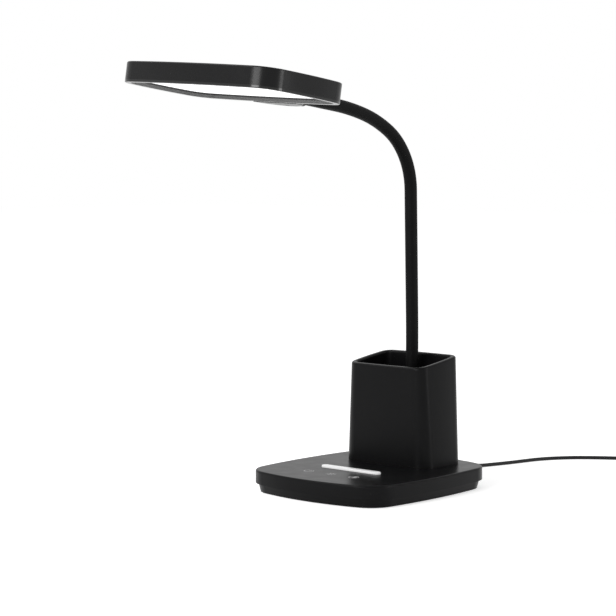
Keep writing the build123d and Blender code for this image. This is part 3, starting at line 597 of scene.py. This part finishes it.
def make_grommet():
    """The cord's bend protector at the base's back: inner flange, neck in the wall and ribbed boot."""
    low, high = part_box("cord_grommet")
    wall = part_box("base_top_shell")[1][1]
    boot_start, boot_end = (wall - low[1]) / MM + BOOT_GAP, (high[1] - low[1]) / MM
    rounds = [(0, FLANGE_RADIUS), (FLANGE_THICKNESS, FLANGE_RADIUS),
              (FLANGE_THICKNESS, GROMMET_NECK_RADIUS), (boot_start, GROMMET_NECK_RADIUS)]
    stations = [(at, radius, radius, radius) for at, radius in rounds]
    stations += relief_stations(boot_start, boot_end, BOOT_FOOT_RADIUS, BOOT_TIP_RADIUS, BOOT_GROOVE)
    origin = Vector(((low[0] + high[0]) / 2, low[1], (low[2] + high[2]) / 2))
    boot = moulded_body("grommet_boot", origin, Vector((0, 1, 0)), Vector((1, 0, 0)), stations)
    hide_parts("cord_grommet")
    return boot


def make_plug_body():
    """The plug's overmould: ribbed bend protector, shouldered grip with grip lines, rounded face."""
    low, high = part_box("plug_body")
    half_wide, half_high = (high[1] - low[1]) / 2 / MM, (high[2] - low[2]) / 2 / MM
    stations = relief_stations(0, PLUG_RELIEF_LENGTH, PLUG_TIP_RADIUS, PLUG_FOOT_RADIUS, PLUG_GROOVE)
    line_starts = [GRIP_FIRST + GRIP_PITCH * line for line in range(GRIP_COUNT)]
    lines = [(start + at, change) for start in line_starts for at, change in GRIP_LINE]
    for at, change in PLUG_SHOULDER + lines + PLUG_FACE:
        corner = min(PLUG_CORNER, half_high + change)
        stations.append((at, half_wide + change, half_high + change, corner))
    origin = Vector((low[0], (low[1] + high[1]) / 2, (low[2] + high[2]) / 2))
    body = moulded_body("plug_overmould", origin, Vector((1, 0, 0)), Vector((0, 1, 0)), stations)
    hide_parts("plug_body")
    return body


def make_cord():
    """The USB lead as one smooth line: from the base along the desk, through its coil into the plug."""
    grommet, plug_body = make_grommet(), make_plug_body()
    route = LEAD + coil_points() + TAIL
    curve = bpy.data.curves.new("usb_cord", "CURVE")
    curve.dimensions = "3D"
    curve.bevel_depth = CORD_DIAMETER / 2 * MM
    curve.bevel_resolution = CORD_SIDE_STEPS
    curve.resolution_u = CORD_SPAN_STEPS
    curve.use_fill_caps = True
    spline = curve.splines.new("NURBS")
    spline.points.add(len(route) - 1)
    for point, place in zip(spline.points, route):
        point.co = (place[0] * MM, place[1] * MM, place[2] * MM, 1)
    spline.order_u = CORD_ORDER
    spline.use_endpoint_u = True
    cord = new_object("usb_cord", curve, CORD_BLACK)
    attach(cord, "base")
    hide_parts("cord_lead", "cord_coil", "cord_tail")


make_cord()


# ---------------------------------------------------------------- floor, backdrop and light
FLOOR_HALF = 6.0              # m
FLOOR_SHADE = 0.9
FLOOR_GLOW = 0.55             # lifts the lit floor to white where it is seen
WORLD_FILL = 0.5              # the world's strength as light on the object
BASE_AIM = (0, 0, 0.1)
HEAD_AIM = (0, -0.17, 0.346)
# name: what it lights, azimuth, elevation, distance, width, height, radiance
LIGHTS = {
    "key": (BASE_AIM, -40, 48, 2.2, 1.2, 1.2, 2.6),
    "front_box": (HEAD_AIM, 0, 14, 2.2, 1.3, 0.6, 9),
    "right_box": (HEAD_AIM, 112, 5, 2.2, 0.4, 0.9, 8),
}


def seen_directly(tree):
    """1 for rays that reach the camera directly, off gloss or through something clear; otherwise 0."""
    path = tree.nodes.new("ShaderNodeLightPath")
    result = path.outputs["Is Camera Ray"]
    for kind in ("Is Glossy Ray", "Is Transmission Ray"):
        either = tree.nodes.new("ShaderNodeMath")
        either.operation = "MAXIMUM"
        tree.links.new(result, either.inputs[0])
        tree.links.new(path.outputs[kind], either.inputs[1])
        result = either.outputs[0]
    return result


def make_floor():
    """A plain white floor. Seen directly it glows to white and keeps the lamp's soft shadow."""
    material, tree, principled = shader("floor_white", (FLOOR_SHADE,) * 3, 0.9, Specular_IOR_Level=0.0)
    principled.inputs["Emission Color"].default_value = (1, 1, 1, 1)
    glow = tree.nodes.new("ShaderNodeMath")
    glow.operation = "MULTIPLY"
    glow.inputs[1].default_value = FLOOR_GLOW
    tree.links.new(seen_directly(tree), glow.inputs[0])
    tree.links.new(glow.outputs[0], principled.inputs["Emission Strength"])
    corners = [(x * FLOOR_HALF, y * FLOOR_HALF, 0) for x, y in ((-1, -1), (1, -1), (1, 1), (-1, 1))]
    floor = mesh_from("floor", corners, [(0, 1, 2, 3)], material)


def make_world():
    """White all round as the camera and reflections see it, and a plain soft fill for the rest."""
    world = bpy.data.worlds.new("studio")
    bpy.context.scene.world = world
    world.use_nodes = True
    tree = world.node_tree
    background = tree.nodes["Background"]
    level = tree.nodes.new("ShaderNodeMapRange")
    level.inputs["To Min"].default_value = WORLD_FILL
    level.inputs["To Max"].default_value = 1.0
    tree.links.new(seen_directly(tree), level.inputs["Value"])
    tree.links.new(level.outputs["Result"], background.inputs["Strength"])
    background.inputs["Color"].default_value = (1, 1, 1, 1)


def soft_light(name, aim, azimuth, elevation, distance, width, height, radiance):
    """A soft box round its aim: azimuth 0 is in front, 90 to the right. Radiance sets its power."""
    turn, rise = radians(azimuth), radians(elevation)
    place = Vector(aim) + distance * Vector((sin(turn) * cos(rise), -cos(turn) * cos(rise), sin(rise)))
    data = bpy.data.lights.new(name, "AREA")
    data.shape = "RECTANGLE"
    data.size, data.size_y = width, height
    data.energy = 4 * width * height * radiance
    light = new_object(name, data)
    light.location = place
    light.rotation_mode = "QUATERNION"
    light.rotation_quaternion = (Vector(aim) - place).to_track_quat("-Z", "Y")


make_floor()
make_world()
for light_name, light_place in LIGHTS.items():
    soft_light(light_name, *light_place)
bpy.context.scene.view_settings.view_transform = "Standard"
